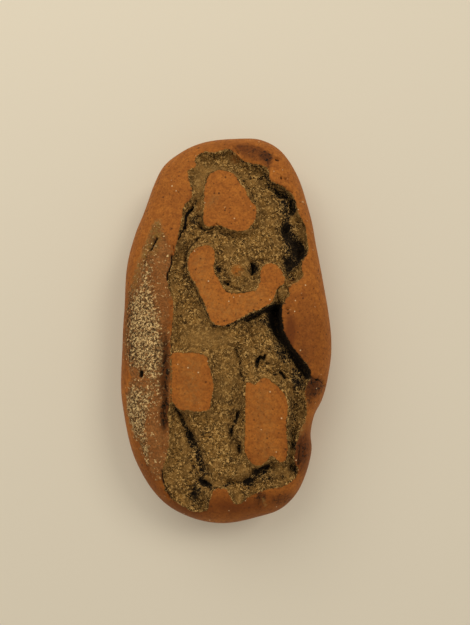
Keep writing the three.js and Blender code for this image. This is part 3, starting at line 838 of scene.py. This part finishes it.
def weather(body, size, relief):
    """Crust, cracks, stains and tones of the clay outside the field, as masks; the tones carry painted
    shade on the rims
    """
    plan = body.face
    wander = np.column_stack([grain(plan, 2.4 * MM, 3, seed) for seed in (5, 6)])
    ragged = plan + 2 * relief.raggedness * wander
    broken = plan + relief.raggedness * np.column_stack(
        [grain(plan, 0.8 * MM, 2, seed) for seed in (10, 11)]
    )
    top_stain = ramp(depth_inside(drawn(TOP_STAIN, True, size), ragged) + 0.3 * MM, 1.3 * MM)
    return {
        "crust_reach": depth_inside(drawn(CRUST, True, size), ragged) / MM,
        "speckle": spots_sum(SPECKLES, ragged, size),
        "crack": furrows_sum(CRACKS, broken, size),
        "dust": np.clip(furrows_sum(DUST, ragged, size), 0, 1),
        "stain": np.clip(spots_sum(STAINS, ragged, size) + 0.3 * top_stain, 0, 1),
        "tone_and_shade": np.clip(spots_sum(CLAY_TONES_AND_SHADE, ragged, size) + 0.6 * top_stain, -1, 1),
    }


def roughen(body, normals, cover, relief):
    """Moves the vertices: the relief straight down, the texture along the surface's normal"""
    points = body.points.copy()
    lumps = grain(points, 11 * MM, 2, 7)
    pits = np.clip(grain(points, 0.8 * MM, 2, 8) - 0.5, 0, 0.4) / 0.4
    crust = ramp(cover["crust_reach"], 1.2) * (0.4 + 0.6 * np.clip(cover["speckle"], 0, 1))
    broken = np.maximum(crust, 1.6 * cover["stain"] * ramp(-cover["soil_reach"], 0.5))
    rough = grain(points, 1.0 * MM, 3, 9) * broken * relief.crust_grain
    clay = ramp(-cover["soil_reach"], 0.3)
    push = relief.lumps * lumps + rough - relief.clay_pits * pits * clay - MM * cover["crack"]
    push *= ramp(points[:, 2], 3 * MM)
    points += normals * push[:, None]
    points[:, 2] -= cover["depth"]
    return points


def add_attribute(mesh, name, values):
    attribute = mesh.attributes.new(name, "FLOAT", "POINT")
    attribute.data.foreach_set("value", np.asarray(values, np.float32))


def make_body(settings, relief):
    """The plaque's mesh, with its relief and the masks of what covers it"""
    body = BodyMesh(settings)
    mesh = bpy.data.meshes.new("worn_plaque")
    faces = body.quads.tolist() + [body.back.tolist()]
    mesh.from_pydata(body.points.tolist(), [], faces)
    mesh.update()
    cover = {**carve(body, settings, relief), **weather(body, settings, relief)}
    spare = len(body.points) - len(body.face)
    for name, values in cover.items():
        beyond = values.min() if name.endswith("reach") else 0
        cover[name] = np.concatenate([values, np.full(spare, beyond)])
    points = roughen(body, vertex_normals(mesh), cover, relief)
    mesh.vertices.foreach_set("co", points.astype(np.float32).ravel())
    mesh.shade_smooth()
    mesh.update()
    for name, values in cover.items():
        if name != "depth":
            add_attribute(mesh, name, values)
    return mesh


def add_node(tree, kind, inputs=(), **settings):
    """A shader node with its settings; an input is a value or another node's socket"""
    made = tree.nodes.new(kind)
    for name, value in settings.items():
        setattr(made, name, value)
    for name, value in dict(inputs).items():
        if isinstance(value, bpy.types.NodeSocket):
            tree.links.new(value, made.inputs[name])
        else:
            made.inputs[name].default_value = value
    return made


def maths(tree, operation, first, second=0.0, clamp=False):
    """The result of one sum"""
    made = add_node(
        tree, "ShaderNodeMath", {0: first, 1: second}, operation=operation, use_clamp=clamp
    )
    return made.outputs[0]


def blend(tree, share, first, second):
    """A colour between two"""
    made = add_node(
        tree, "ShaderNodeMix", {0: share, 6: first, 7: second}, data_type="RGBA"
    )
    return made.outputs[2]


def fade(tree, value, low, high):
    """Rises smoothly from 0 to 1 while value goes from low to high"""
    made = add_node(
        tree, "ShaderNodeMapRange", {"Value": value, "From Min": low, "From Max": high},
        interpolation_type="SMOOTHSTEP",
    )
    return made.outputs["Result"]


def attribute(tree, name):
    """The value of a mask that the mesh carries"""
    made = add_node(tree, "ShaderNodeAttribute", attribute_name=name)
    return made.outputs["Fac"]


def place_in_mm(tree):
    """The place on the piece, in millimetres"""
    place = add_node(tree, "ShaderNodeTexCoord").outputs["Object"]
    made = add_node(
        tree, "ShaderNodeVectorMath", {0: place, "Scale": 1 / MM}, operation="SCALE"
    )
    return made.outputs[0]


def new_group(name, inputs, outputs):
    """An empty node group with named inputs and outputs, and its two end nodes"""
    tree = bpy.data.node_groups.new(name, "ShaderNodeTree")
    for label, kind, value in inputs:
        socket = tree.interface.new_socket(label, in_out="INPUT", socket_type=kind)
        socket.default_value = value
    for label, kind in outputs:
        tree.interface.new_socket(label, in_out="OUTPUT", socket_type=kind)
    given = tree.nodes.new("NodeGroupInput")
    result = tree.nodes.new("NodeGroupOutput")
    return tree, given.outputs, result


FLOAT, COLOUR = "NodeSocketFloat", "NodeSocketColor"


def cloud_group():
    """Cloudy noise that rises from 0 to 1 between Low and High; Size is in millimetres"""
    inputs = (("Size", FLOAT, 1.0), ("Low", FLOAT, 0.35), ("High", FLOAT, 0.65),
              ("Twist", FLOAT, 0.0), ("Detail", FLOAT, 5.0), ("Shift", FLOAT, 0.0))
    tree, given, result = new_group("Cloud", inputs, (("Mask", FLOAT),))
    cloud = add_node(
        tree, "ShaderNodeTexNoise",
        {"Vector": place_in_mm(tree), "Scale": maths(tree, "DIVIDE", 1.0, given["Size"]),
         "Detail": given["Detail"], "Distortion": given["Twist"]},
    ).outputs["Fac"]
    moved = maths(tree, "ADD", cloud, given["Shift"])
    tree.links.new(fade(tree, moved, given["Low"], given["High"]), result.inputs["Mask"])
    return tree


def lines_group():
    """Thin wandering lines; Size is their spacing in millimetres, Width their share of it"""
    inputs = (("Size", FLOAT, 1.0), ("Width", FLOAT, 0.03), ("Twist", FLOAT, 1.0),
              ("Offset", FLOAT, 0.0))
    tree, given, result = new_group("Wandering Lines", inputs, (("Mask", FLOAT),))
    place = add_node(
        tree, "ShaderNodeVectorMath", {0: place_in_mm(tree), 1: given["Offset"]}, operation="ADD"
    ).outputs[0]
    cloud = add_node(
        tree, "ShaderNodeTexNoise",
        {"Vector": place, "Scale": maths(tree, "DIVIDE", 1.0, given["Size"]), "Detail": 2.0,
         "Distortion": given["Twist"]},
    ).outputs["Fac"]
    away = maths(tree, "ABSOLUTE", maths(tree, "SUBTRACT", cloud, 0.5))
    core = maths(tree, "MULTIPLY", given["Width"], 0.45)
    tree.links.new(fade(tree, away, given["Width"], core), result.inputs["Mask"])
    return tree


def specks_group():
    """Scattered specks: Size is their spacing in millimetres, Share how many cells have one"""
    inputs = (("Size", FLOAT, 1.0), ("Share", FLOAT, 0.3), ("Fill", FLOAT, 0.35))
    tree, given, result = new_group("Specks", inputs, (("Mask", FLOAT),))
    cells = add_node(
        tree, "ShaderNodeTexVoronoi",
        {"Vector": place_in_mm(tree), "Scale": maths(tree, "DIVIDE", 1.0, given["Size"])},
    ).outputs
    chosen = add_node(tree, "ShaderNodeSeparateColor", {"Color": cells["Color"]}).outputs
    present = maths(tree, "LESS_THAN", chosen["Red"], given["Share"])
    spread = maths(tree, "ADD", 0.4, maths(tree, "MULTIPLY", chosen["Green"], 0.6))
    radius = maths(tree, "MULTIPLY", given["Fill"], spread)
    dot = fade(tree, cells["Distance"], radius, maths(tree, "MULTIPLY", radius, 0.5))
    tree.links.new(maths(tree, "MULTIPLY", dot, present), result.inputs["Mask"])
    return tree


def place_group(tree, group, **inputs):
    """The mask of a node group placed in a material, with its own values"""
    made = tree.nodes.new("ShaderNodeGroup")
    made.node_tree = group
    for name, value in inputs.items():
        if isinstance(value, bpy.types.NodeSocket):
            tree.links.new(value, made.inputs[name])
        else:
            made.inputs[name].default_value = value
    return made.outputs["Mask"]


def product(tree, *shares):
    """Several shares multiplied together"""
    total = shares[0]
    for share in shares[1:]:
        total = maths(tree, "MULTIPLY", total, share)
    return total


def clay_colour(tree, groups, colours):
    """Worn fired clay: cloudy orange and red-brown, with painted shade on the lower and right rims, dark
    pits and pale grit
    """
    cloud, specks = groups["cloud"], groups["specks"]
    tone_and_shade, stain = attribute(tree, "tone_and_shade"), attribute(tree, "stain")
    brighter = maths(tree, "MULTIPLY", tone_and_shade, -1.0, clamp=True)
    base = blend(tree, brighter, colours.clay, colours.clay_bright)
    glow = place_group(tree, cloud, Size=1.3, Low=0.44, High=0.64)
    base = blend(tree, product(tree, glow, 0.65), base, colours.clay_bright)
    clouds = place_group(tree, cloud, Size=4.0, Low=0.35, High=0.65)
    # Painted shade: the tone mask darkens and reddens the rims toward the bottom and the right, on top of
    # the clay's own red clouds
    redness_and_shade = maths(tree, "ADD", tone_and_shade, maths(tree, "MULTIPLY", clouds, 0.15), clamp=True)
    base = blend(tree, redness_and_shade, base, colours.clay_red_and_shade)
    mottle = place_group(tree, cloud, Size=0.8, Low=0.47, High=0.64, Detail=8.0, Shift=-0.02)
    base = blend(tree, product(tree, mottle, 0.4), base, colours.clay_red_and_shade)
    sand = place_group(tree, cloud, Size=0.42, Low=0.42, High=0.6, Twist=0.4, Detail=3.0)
    base = blend(tree, product(tree, sand, 0.24), base, colours.clay_stain)
    patchy = place_group(
        tree, cloud, Size=0.7, Low=0.4, High=0.6, Twist=0.6,
        Shift=maths(tree, "SUBTRACT", product(tree, stain, 0.3), 0.15),
    )
    base = blend(tree, product(tree, stain, 0.5), base, colours.clay_stain)
    base = blend(tree, product(tree, maths(tree, "POWER", stain, 0.5), patchy, 0.85),
                 base, colours.clay_stain)
    holes = place_group(tree, cloud, Size=0.6, Low=0.56, High=0.59, Twist=0.8)
    base = blend(tree, product(tree, stain, holes, 1.3), base, colours.hollow_black_and_shade)
    powder = place_group(tree, cloud, Size=0.7, Low=0.42, High=0.58, Twist=0.5)
    powder = product(tree, attribute(tree, "dust"), maths(tree, "ADD", 0.3, powder))
    base = blend(tree, powder, base, colours.soil_smooth)
    fine = place_group(tree, specks, Size=0.6, Share=0.5, Fill=0.42)
    large = place_group(tree, specks, Size=1.3, Share=maths(tree, "ADD", 0.35, stain), Fill=0.3)
    pits = maths(tree, "MAXIMUM", product(tree, fine, 0.5), product(tree, large, 0.85))
    base = blend(tree, pits, base, colours.pit)
    clusters = place_group(tree, cloud, Size=5.0, Low=0.45, High=0.65)
    grit = place_group(
        tree, specks, Size=1.1, Share=maths(tree, "ADD", 0.08, product(tree, clusters, 0.4)),
        Fill=0.22,
    )
    return blend(tree, product(tree, grit, 0.9), base, colours.grit)


def soil_colour(tree, groups, colours):
    """Gritty soil of olive-brown crumbs, with painted shade that darkens every small hollow and turns the
    furrows black
    """
    cloud, lines = groups["cloud"], groups["lines"]
    shade, hollow_black_and_shade = attribute(tree, "shade"), attribute(tree, "hollow_black_and_shade")
    calm = product(tree, place_group(tree, cloud, Size=2.4, Low=0.5, High=0.62, Twist=0.5), 0.55)
    calm = maths(tree, "MAXIMUM", calm, product(tree, attribute(tree, "smooth"), 0.7))
    rough = maths(tree, "SUBTRACT", 1.0, calm)
    base = blend(tree, rough, colours.soil_smooth, colours.soil)
    broad = place_group(tree, cloud, Size=2.6, Low=0.4, High=0.65, Twist=0.5)
    base = blend(tree, product(tree, broad, 0.4), base, colours.dark_soil_and_shade)
    dark = place_group(tree, lines, Size=0.9, Width=0.085, Twist=1.2)
    gaps = place_group(tree, cloud, Size=1.3, Low=0.62, High=0.42)
    # Painted shade: the lows of the crumbly relief are darkened
    low = fade(tree, attribute(tree, "crumb"), -0.3, -1.0)
    # The dark lines grow thicker where shade is painted
    dark = product(tree, dark, maths(tree, "ADD", gaps, shade), 0.95)
    flecks = place_group(tree, cloud, Size=0.44, Low=0.545, High=0.575, Twist=1.2, Detail=3.0)
    dark = maths(tree, "MAXIMUM", dark, product(tree, flecks, 0.85))
    dark = product(tree, maths(tree, "MAXIMUM", dark, product(tree, low, 0.6)), rough)
    base = blend(tree, dark, base, colours.dark_soil_and_shade)
    # Painted shade along the foot of the field's walls, broken up by a cloud
    rim = fade(tree, attribute(tree, "soil_reach"), 0.5, 0.15)
    wall_foot_shade = place_group(tree, cloud, Size=1.6, Low=0.45, High=0.6, Twist=0.5)
    base = blend(tree, product(tree, rim, wall_foot_shade, 0.65), base, colours.dark_soil_and_shade)
    # Painted shade: deep places and shaded spots are darkened and broken up with black, with fewer pale
    # crumbs
    deep_shade = maths(tree, "MAXIMUM", product(tree, shade, shade, 0.75), hollow_black_and_shade)
    base = blend(tree, product(tree, deep_shade, 0.4), base, colours.dark_soil_and_shade)
    black = place_group(
        tree, cloud, Size=0.6, Low=0.52, High=0.555, Twist=0.8,
        Shift=maths(tree, "SUBTRACT", product(tree, deep_shade, 0.6), 0.27),
    )
    black = product(tree, black, fade(tree, deep_shade, 0.05, 0.3))
    base = blend(tree, black, base, colours.hollow_black_and_shade)
    strokes = place_group(tree, lines, Size=0.62, Width=0.07, Twist=1.0, Offset=7.0)
    breaks = place_group(tree, cloud, Size=0.7, Low=0.53, High=0.59, Twist=0.5)
    crumbs = place_group(tree, cloud, Size=0.4, Low=0.6, High=0.625, Twist=1.2, Detail=3.0)
    share = fade(tree, deep_shade, 1.1, 0.5)
    pale = maths(tree, "MAXIMUM", product(tree, strokes, breaks), crumbs)
    pale = product(tree, pale, rough, share)
    return blend(tree, pale, base, colours.soil_pale)


def crust_colour(tree, groups, colours):
    """The flank's brown film and crust, thick with cream speckles"""
    cloud, lines = groups["cloud"], groups["lines"]
    thick = fade(tree, attribute(tree, "speckle"), 0.0, 0.9)
    cloudy = place_group(tree, cloud, Size=1.8, Low=0.35, High=0.65)
    film = blend(tree, product(tree, cloudy, 0.45), colours.film, colours.clay_red_and_shade)
    sand = place_group(tree, cloud, Size=0.42, Low=0.46, High=0.6, Twist=0.4, Detail=3.0)
    film = blend(tree, product(tree, sand, 0.35), film, colours.crust_dark)
    stain = attribute(tree, "stain")
    film = blend(tree, product(tree, stain, 0.9), film, colours.clay_stain)
    black = place_group(tree, cloud, Size=0.9, Low=0.52, High=0.58, Twist=0.8)
    film = blend(tree, product(tree, stain, stain, black), film, colours.hollow_black_and_shade)
    powder = place_group(tree, cloud, Size=0.7, Low=0.42, High=0.58, Twist=0.5)
    powder = product(tree, attribute(tree, "dust"), maths(tree, "ADD", 0.25, powder), 0.85)
    film = blend(tree, powder, film, colours.soil)
    cover = place_group(
        tree, cloud, Size=0.9, Low=0.46, High=0.6,
        Shift=maths(tree, "SUBTRACT", product(tree, thick, 0.35), 0.18),
    )
    clear = maths(tree, "SUBTRACT", 1.0, product(tree, stain, 0.8))
    ground = blend(tree, product(tree, cover, clear, 0.85), film, colours.crust)
    dark = place_group(
        tree, cloud, Size=0.48, Low=0.52, High=0.56, Twist=0.5, Shift=product(tree, thick, 0.07)
    )
    # The shaded spots also darken the crust at the flank's edge
    shade = attribute(tree, "shade")
    share = maths(tree, "ADD", maths(tree, "ADD", 0.3, product(tree, thick, 0.6)), shade)
    share = maths(tree, "MULTIPLY", share, maths(tree, "ADD", dark, product(tree, shade, 0.3)), clamp=True)
    ground = blend(tree, share, ground, colours.crust_dark)
    strokes = place_group(tree, lines, Size=0.62, Width=0.06, Twist=0.8, Offset=3.0)
    breaks = place_group(
        tree, cloud, Size=0.6, Low=0.45, High=0.55,
        Shift=maths(tree, "SUBTRACT", product(tree, thick, 0.18), 0.13),
    )
    return blend(tree, product(tree, strokes, breaks, clear, 0.85), ground, colours.crust_pale)


def ragged_mask(tree, cloud, reach, wander, size, softness):
    """A mask with a wandering edge from a distance in millimetres"""
    swing = maths(tree, "SUBTRACT", place_group(tree, cloud, Size=size, Low=0.2, High=0.8), 0.5)
    moved = maths(tree, "ADD", reach, maths(tree, "MULTIPLY", swing, wander * 2))
    return fade(tree, moved, -softness, softness)


def make_clay_material(colours):
    """Worn clay, with soil in the field, painted shade in its hollows and cracks, and a speckled crust on
    one flank
    """
    material = bpy.data.materials.new("worn_fired_clay")
    material.use_nodes = True
    tree = material.node_tree
    shader = tree.nodes["Principled BSDF"]
    groups = {"cloud": cloud_group(), "lines": lines_group(), "specks": specks_group()}
    soil = ragged_mask(tree, groups["cloud"], attribute(tree, "soil_reach"), 0.16, 0.6, 0.1)
    crust = ragged_mask(tree, groups["cloud"], attribute(tree, "crust_reach"), 0.7, 1.2, 0.4)
    clay = clay_colour(tree, groups, colours)
    flank = blend(tree, crust, clay, crust_colour(tree, groups, colours))
    bare = place_group(tree, groups["cloud"], Size=0.6, Low=0.35, High=0.55)
    thin = product(tree, attribute(tree, "thin"), maths(tree, "ADD", 0.3, bare), 0.6)
    cover = product(tree, soil, maths(tree, "SUBTRACT", 1.0, thin))
    surface = blend(tree, cover, flank, soil_colour(tree, groups, colours))
    # Painted shade: the cracks are painted near black, partly dirt in them
    crack = fade(tree, attribute(tree, "crack"), 0.2, 0.65)
    surface = blend(tree, crack, surface, colours.hollow_black_and_shade)
    tree.links.new(surface, shader.inputs["Base Color"])

    cover = maths(tree, "MAXIMUM", soil, crust)
    rough = maths(tree, "ADD", 0.65, maths(tree, "MULTIPLY", cover, 0.3))
    tree.links.new(rough, shader.inputs["Roughness"])
    shader.inputs["Specular IOR Level"].default_value = 0.15

    fine = add_node(
        tree, "ShaderNodeTexNoise", {"Vector": place_in_mm(tree), "Scale": 2.5, "Detail": 6.0}
    ).outputs["Fac"]
    height = maths(tree, "MULTIPLY", fine, maths(tree, "ADD", 0.15, cover))
    bump = add_node(
        tree, "ShaderNodeBump", {"Height": height, "Strength": 0.8, "Distance": 0.3 * MM}
    )
    tree.links.new(bump.outputs["Normal"], shader.inputs["Normal"])
    return material


class PLAQUE_OT_add_body(Operator):
    """Adds the worn clay plaque in place of its plain solid"""

    bl_idname = "plaque.add_body"
    bl_label = "Add Plaque"

    def execute(self, context):
        scene = context.scene
        mesh = make_body(scene.plaque_size, scene.plaque_relief)
        mesh.materials.append(make_clay_material(scene.plaque_colours))
        plaque = bpy.data.objects.new("worn_plaque", mesh)
        scene.collection.objects.link(plaque)
        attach(plaque, "root")
        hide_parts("plaque")
        return {"FINISHED"}


def make_floor(stage):
    """A plain pale floor"""
    half = 1.5
    mesh = bpy.data.meshes.new("floor")
    corners = [(-half, -half, 0), (half, -half, 0), (half, half, 0), (-half, half, 0)]
    mesh.from_pydata(corners, [], [(0, 1, 2, 3)])
    material = bpy.data.materials.new("pale_floor")
    material.use_nodes = True
    shader = material.node_tree.nodes["Principled BSDF"]
    shader.inputs["Base Color"].default_value = stage.floor
    shader.inputs["Roughness"].default_value = 0.9
    shader.inputs["Specular IOR Level"].default_value = 0.1
    mesh.materials.append(material)
    return bpy.data.objects.new("floor", mesh)


def make_light(name, place, size, power, tint):
    """A soft square light that shines at the plaque"""
    lamp = bpy.data.lights.new(name, "AREA")
    lamp.size = size
    lamp.energy = power
    lamp.color = tint
    light = bpy.data.objects.new(name, lamp)
    light.location = place
    light.rotation_mode = "QUATERNION"
    light.rotation_quaternion = Vector(place).to_track_quat("Z", "Y")
    return light


def make_camera(stage):
    """A camera that looks down at the plaque, with the head at the top of the picture"""
    turn, rise = stage.azimuth, stage.elevation
    back = Vector((
        math.sin(turn) * math.cos(rise), -math.cos(turn) * math.cos(rise), math.sin(rise)
    ))
    right = Vector((0, 1, 0)).cross(back).normalized()
    up = back.cross(right)
    lens = bpy.data.cameras.new("camera")
    lens.sensor_width = 36
    lens.lens = stage.lens
    lens.clip_start = 5 * MM
    camera = bpy.data.objects.new("camera", lens)
    turned = Matrix((right, up, back)).transposed().to_4x4()
    camera.matrix_world = Matrix.Translation(Vector(stage.look_at) + back * stage.distance) @ turned
    return camera


class PLAQUE_OT_add_stage(Operator):
    """Adds the pale floor, the soft light and the camera"""

    bl_idname = "plaque.add_stage"
    bl_label = "Add Stage"

    def execute(self, context):
        scene = context.scene
        stage = scene.plaque_stage
        tint = stage.light[:3]
        floor = make_floor(stage)
        key = make_light("key_light", (0.6, 0.42, 0.8), 0.4, stage.key_power, tint)
        top = make_light("top_light", (-0.15, 0.25, 0.3), 0.35, stage.top_power, tint)
        camera = make_camera(stage)
        for made in (floor, key, top, camera):
            scene.collection.objects.link(made)
        scene.camera = camera
        world = bpy.data.worlds.new("soft_sky")
        world.use_nodes = True
        background = world.node_tree.nodes["Background"]
        background.inputs["Color"].default_value = stage.light
        background.inputs["Strength"].default_value = stage.sky_strength
        scene.world = world
        scene.view_settings.view_transform = "Standard"
        return {"FINISHED"}


class VIEW3D_PT_worn_plaque(Panel):
    """Lists the settings of the plaque and the steps that make it"""

    bl_label = "Worn Figure Plaque"
    bl_space_type = "VIEW_3D"
    bl_region_type = "UI"
    bl_category = "Plaque"

    def draw(self, context):
        for name in SETTINGS:
            column = self.layout.column()
            column.label(text=name.replace("_", " ").title())
            group = getattr(context.scene, name)
            for setting in group.__annotations__:
                column.prop(group, setting)
        for operator in (PLAQUE_OT_add_stage, PLAQUE_OT_add_body):
            self.layout.operator(operator.bl_idname)


SETTINGS = {
    "plaque_size": PlaqueSize,
    "plaque_relief": PlaqueRelief,
    "plaque_colours": PlaqueColours,
    "plaque_stage": StageSettings,
}
CLASSES = (*SETTINGS.values(), PLAQUE_OT_add_stage, PLAQUE_OT_add_body, VIEW3D_PT_worn_plaque)


def register():
    for made in CLASSES:
        bpy.utils.register_class(made)
    for name, group in SETTINGS.items():
        setattr(bpy.types.Scene, name, PointerProperty(type=group))


def unregister():
    for name in SETTINGS:
        delattr(bpy.types.Scene, name)
    for made in reversed(CLASSES):
        bpy.utils.unregister_class(made)


def main():
    """Makes the stage and the plaque"""
    register()
    bpy.ops.plaque.add_stage()
    bpy.ops.plaque.add_body()


if __name__ == "__main__":
    main()
